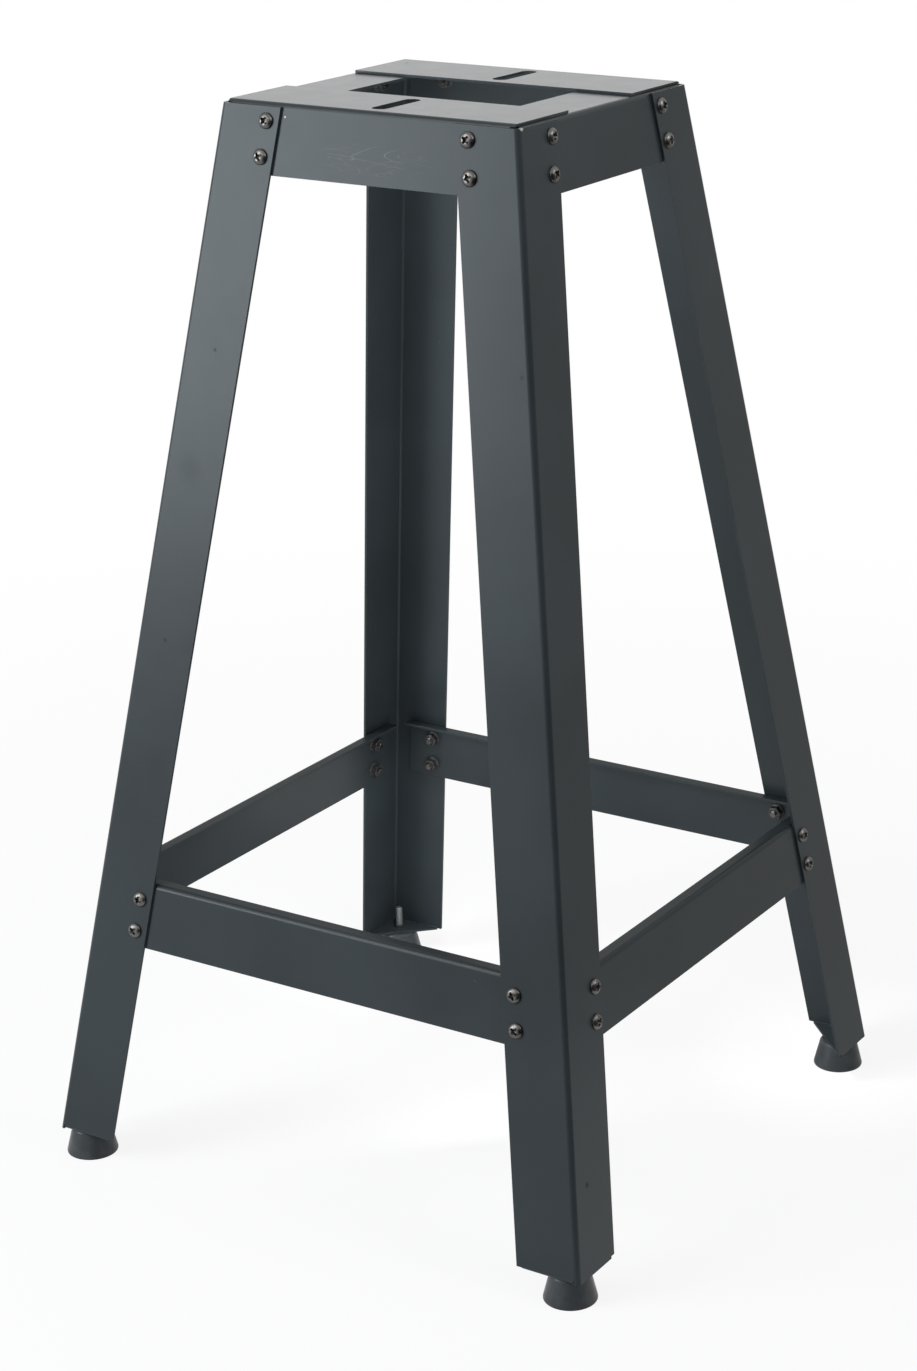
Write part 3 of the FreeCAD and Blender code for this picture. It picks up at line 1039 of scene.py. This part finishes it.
@dataclass
class Feet:
    """Rubber feet and the studs that screw up into the legs' tabs."""

    rubber: Material  # finish of the feet
    zinc: Material  # finish of the studs
    steps: int = 96  # flats round a foot
    radius: float = 19.5 * MM  # radius at the floor
    neck: float = 15.2 * MM  # radius where the cone meets the shoulder
    height: float = 21.3 * MM  # height of the rubber
    shoulder: float = 3.0 * MM  # radius of the shoulder
    edge: float = 1.0 * MM  # height of the straight rim at the floor
    recess_radius: float = 12.0 * MM  # radius of the hollow underneath
    recess_depth: float = 2.0 * MM
    disc_radius: float = 10.0 * MM  # radius of the disc on the stud's end
    disc_low: float = 5.0 * MM  # height of the disc's lower face
    disc_high: float = 8.0 * MM  # height of its upper face
    clearance: float = 0.05 * MM  # gap between rubber and steel
    thread_low: float = 20.5 * MM  # height where the stud's thread starts

    def build(self) -> None:
        """Makes the four feet and their studs."""
        foot = self.foot_mesh()
        for corner in Corner:
            low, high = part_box(f"rubber_foot_{corner.value}")
            middle = (low + high) / 2
            place = Matrix.Translation((middle.x, middle.y, 0.0))
            node = f"rubber_foot_{corner.value}"
            piece = copies(f"moulded_{node}", foot, [place])
            shaded(piece, crease=math.radians(50))
            hand_over(piece, f"foot_{corner.value}", node, self.rubber)
            node = f"foot_stud_{corner.value}"
            piece = copies(f"plated_{node}", self.stud_mesh(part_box(node)[1].z), [place])
            shaded(piece, crease=math.radians(32))
            hand_over(piece, f"stud_{corner.value}", node, self.zinc)

    def foot_mesh(self) -> Mesh:
        """Turns a rubber foot.

        Returns:
            The foot, standing on z = 0.
        """
        hole = Thread.radius + self.clearance
        base = [
            (0.0, self.recess_depth, 0.0),
            (self.recess_radius, self.recess_depth, 0.8 * MM),
            (self.recess_radius, 0.0, 0.5 * MM),
            (self.radius, 0.0, 0.35 * MM),
            (self.radius, self.edge, 0.35 * MM),
            (self.neck, self.height - self.shoulder, 0.0),
        ]
        mouth = 0.3 * MM
        shoulder = [base[-1], (self.neck, self.height, self.shoulder), (hole + mouth, self.height, 0.0)]
        low = self.disc_low - self.clearance
        high = self.disc_high + self.clearance
        wide = self.disc_radius + self.clearance
        pocket = [(hole, self.height - mouth), (hole, high), (wide, high), (wide, low), (0.0, low)]
        section = rounded_section(base, 4)[:-1] + rounded_section(shoulder, 8)[1:] + pocket
        return Turning(self.steps, section).finished("rubber_foot")

    def stud_mesh(self, top: float) -> Mesh:
        """Turns a stud.

        Args:
            top: Height of its upper end.

        Returns:
            The stud, in line with its foot.
        """
        thread = Thread(self.thread_low, top)
        corners = [
            (0.0, self.disc_low, 0.0),
            (self.disc_radius, self.disc_low, 0.3 * MM),
            (self.disc_radius, self.disc_high, 0.3 * MM),
            (thread.root, self.disc_high, 0.0),
        ]
        turning = Turning(self.steps // 2, rounded_section(corners, 3))
        turning.thread(thread)
        turning.ring(0.0, top)
        return turning.finished("foot_stud")


@dataclass(frozen=True)
class Softbox:
    """Rectangular lamp that faces the stand."""

    name: str
    centre: Place
    size: Pair  # width and height
    power: float  # in watts
    colour: Colour = (1.0, 1.0, 1.0)  # tint of its light
    aim: Place = (0.0, 0.0, 0.60)  # point that it faces
    glossy: bool = True  # whether it shows in reflections
    spread: float = 180.0  # angle of its cone of light, in degrees

    def build(self) -> None:
        """Adds the lamp."""
        lamp = bpy.data.lights.new(self.name, "AREA")
        lamp.shape = "RECTANGLE"
        lamp.size, lamp.size_y = self.size
        lamp.energy = self.power
        lamp.color = self.colour
        lamp.spread = math.radians(self.spread)
        softbox = new_object(self.name, lamp)
        softbox.location = self.centre
        aim = Vector(self.aim) - softbox.location
        softbox.rotation_euler = aim.to_track_quat("-Z", "Y").to_euler()
        softbox.visible_camera = False
        softbox.visible_glossy = self.glossy


@dataclass(frozen=True)
class Fill(Softbox):
    """Lamp that lights only matt surfaces and shows in no reflection."""

    glossy: bool = False


@dataclass(frozen=True)
class GlowingCard:
    """Card that glows evenly and shows only in reflections, where it paints a darker or brighter reflection;
    it curves round part of the stand.
    """

    name: str
    start: float  # direction where it starts, in degrees from +X
    end: float  # direction where it ends
    profile: tuple[Pair, ...]  # distance from the middle and height of each line along it
    # strength of its glow, seen only in reflections
    glow: float
    steps: int = 40  # flats along its curve

    def build(self) -> None:
        """Adds the card."""
        work = bmesh.new()
        rows = []
        for step in range(self.steps + 1):
            angle = math.radians(self.start + (self.end - self.start) * step / self.steps)
            row = [(r * math.cos(angle), r * math.sin(angle), z) for r, z in self.profile]
            rows.append([work.verts.new(point) for point in row])
        for row, following in zip(rows, rows[1:]):
            for i in range(len(row) - 1):
                work.faces.new((row[i], following[i], following[i + 1], row[i + 1]))
        card = new_object(self.name, made_mesh(work, self.name))
        card.visible_camera = card.visible_diffuse = card.visible_shadow = False
        material = bpy.data.materials.new(self.name)
        card.data.materials.append(material)
        nodes = Nodes(material)
        nodes.show(nodes.node("ShaderNodeEmission", {"Strength": self.glow}))


@dataclass
class Studio:
    """Pale floor, soft studio light and the camera."""

    floor_radius: float = 30.0
    floor_colour: float = 0.93
    sky: float = 0.30  # strength of the world's light on matt surfaces
    backdrop_share: float = 0.86  # share of its white that needs no light
    backdrop_near: float = 0.45  # distance up to which that share holds
    backdrop_far: float = 1.60  # distance from which the floor is plain white
    softboxes: tuple[Softbox, ...] = (
        Softbox("key_softbox", (-1.50, -1.77, 0.88), (1.0, 1.0), 33.0, (0.915, 1.0, 1.035)),
        Softbox("high_softbox", (-1.10, -2.00, 2.30), (1.0, 1.0), 30.0),
        Softbox("back_strip", (-1.30, 2.10, 1.50), (2.6, 0.9), 6.5),
        Softbox("right_softbox", (2.00, 0.25, 2.10), (0.8, 0.8), 9.0),
        Fill("side_fill", (2.80, -0.40, 1.20), (1.5, 1.5), 16.0),
        Fill("inner_fill", (0.05, -0.05, 0.38), (0.12, 0.70), 0.88, aim=(-0.39, 0.41, 0.38)),
        Fill("left_low_fill", (-0.09, 0.09, 0.26), (0.05, 0.05), 0.045, aim=(-0.21, 0.21, 0.03), spread=60.0),
        Fill("right_low_fill", (0.10, 0.07, 0.28), (0.05, 0.05), 0.060, aim=(0.21, 0.21, 0.03), spread=50.0),
        Fill("top_fill", (0.00, -0.02, 0.70), (0.16, 0.05), 0.17, aim=(0.00, 0.12, 0.76)),
    )
    cards: tuple[GlowingCard, ...] = (  # they glow only in reflections: painted dark reflections that give walls and bends their depth, painted floor shadow under and behind the stand, and painted glints on the screws
        GlowingCard("grey_card_right", 15.0, 75.0, (*SWEEP, (1.60, 0.95)), 0.64),
        GlowingCard("grey_card_front", -75.0, 15.0, (*SWEEP, (1.60, 1.35)), 0.02),
        # painted shadow: dark sheets on the floor under the stand and at its back right, where its shadow
        # falls
        GlowingCard("shadow_card_under", 40.0, 190.0, ((0.02, LIFT), (0.30, LIFT)), 0.32),
        GlowingCard("shadow_card_corner", 38.0, 75.0, ((0.30, LIFT), (0.52, LIFT)), 0.64),
        GlowingCard("grey_card_back", 95.0, 165.0, ((0.70, LIFT), (0.70, 0.74)), 0.45),
        GlowingCard("glint_card_right", -15.0, 30.0, ((2.30, 1.35), (2.30, 2.60)), 3.5),
        GlowingCard("glint_card_front", -92.0, -62.0, ((2.60, 2.00), (2.60, 3.10)), 3.5),
    )
    camera_place: Place = (1.18094, -1.80779, 1.12139)
    azimuth: float = 31.279  # turn of the camera from the front, in degrees
    elevation: float = 19.748  # its height above level, in degrees
    roll: float = -0.399  # its tilt, in degrees
    focal_pixels: float = 3030.74  # focal length in pixels of the full picture
    picture: tuple[int, int] = (917, 1371)  # width and height of the full picture
    picture_centre: Pair = (561.55, 692.905)  # pixel where the optical axis meets the picture

    def build(self) -> None:
        """Sets up floor, light, cards, camera and colour handling."""
        self.floor()
        self.world()
        for item in (*self.softboxes, *self.cards):
            item.build()
        self.camera()
        bpy.context.scene.view_settings.view_transform = "Standard"

    def floor(self) -> None:
        """Adds the floor, which keeps the object's shadow."""
        work = bmesh.new()
        bmesh.ops.create_circle(work, cap_ends=True, segments=96, radius=self.floor_radius)
        floor = new_object("floor", made_mesh(work, "floor"))
        shader = Shader("pale_floor")
        tones = [(share * self.floor_colour,) * 3 for share in (0.99, 1.0)]
        shader.set("Base Color", shader.mix(shader.noise(3.0), *tones))
        shader.set("Roughness", 0.9)
        shader.set("Specular IOR Level", 0.0)
        glow = shader.node("ShaderNodeEmission")
        gap = shader.distance(shader.place, (0.0, 0.0, 0.0))
        plain = shader.remap(gap, self.backdrop_near, self.backdrop_far, self.backdrop_share, 1.0)
        share = shader.product(shader.seen_rays(), plain)
        inputs = {0: share, 1: shader.surface.outputs["BSDF"], 2: glow.outputs["Emission"]}
        shader.show(shader.node("ShaderNodeMixShader", inputs))
        floor.data.materials.append(shader.material)

    def world(self) -> None:
        """Sets a plain white world."""
        world = bpy.data.worlds.new("studio")
        nodes = Nodes(world, "ShaderNodeOutputWorld")
        strength = nodes.remap(nodes.seen_rays(), 0.0, 1.0, self.sky, 1.0)
        inputs = {"Color": (1.0, 1.0, 1.0, 1.0), "Strength": strength}
        nodes.show(nodes.node("ShaderNodeBackground", inputs))
        bpy.context.scene.world = world

    def camera(self) -> None:
        """Adds the camera at the object's viewing angle."""
        angles = (self.azimuth, 90.0 - self.elevation, self.roll)
        turn, lean, tilt = (math.radians(angle) for angle in angles)
        lens = bpy.data.cameras.new("camera")
        long_side = max(self.picture)
        lens.lens = self.focal_pixels * lens.sensor_width / long_side
        lens.shift_x = (self.picture[0] / 2 - self.picture_centre[0]) / long_side
        lens.shift_y = (self.picture_centre[1] - self.picture[1] / 2) / long_side
        camera = new_object("camera", lens)
        axes = Matrix.Rotation(turn, 4, "Z") @ Matrix.Rotation(lean, 4, "X") @ Matrix.Rotation(tilt, 4, "Z")
        camera.matrix_world = Matrix.Translation(self.camera_place) @ axes
        bpy.context.scene.camera = camera


def main() -> None:
    """Builds the studio and every piece of the stand."""
    logging.basicConfig(level=logging.INFO, format="%(message)s")
    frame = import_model()
    Studio().build()

    paint = PowderCoat().material()
    screw_plating = PlatedSteel("dark_passivated_steel", (0.150, 0.146, 0.140), (0.105, 0.102, 0.098), 0.34)
    nut_plating = PlatedSteel("dark_nut_steel", (0.060, 0.060, 0.061), (0.044, 0.045, 0.046), 0.45, 0.5)
    zinc = PlatedSteel("bright_zinc", (0.56, 0.58, 0.58), (0.44, 0.46, 0.46), 0.36, 0.85)
    rubber = MouldedRubber().material()

    FoldedSheets(frame, paint, "leg", tuple(Corner), crisp_below=0.036).build()
    FoldedSheets(frame, paint, "top_plate", (Side.FRONT, Side.BACK)).build()
    FoldedSheets(frame, paint, "top_rail", (Side.LEFT, Side.RIGHT)).build()
    FoldedSheets(frame, paint, "lower_rail", tuple(Side)).build()
    Screws(frame, screw_plating.material()).build()
    Nuts(frame, nut_plating.material()).build()
    Feet(rubber, zinc.material()).build()


if __name__ == "__main__":
    main()
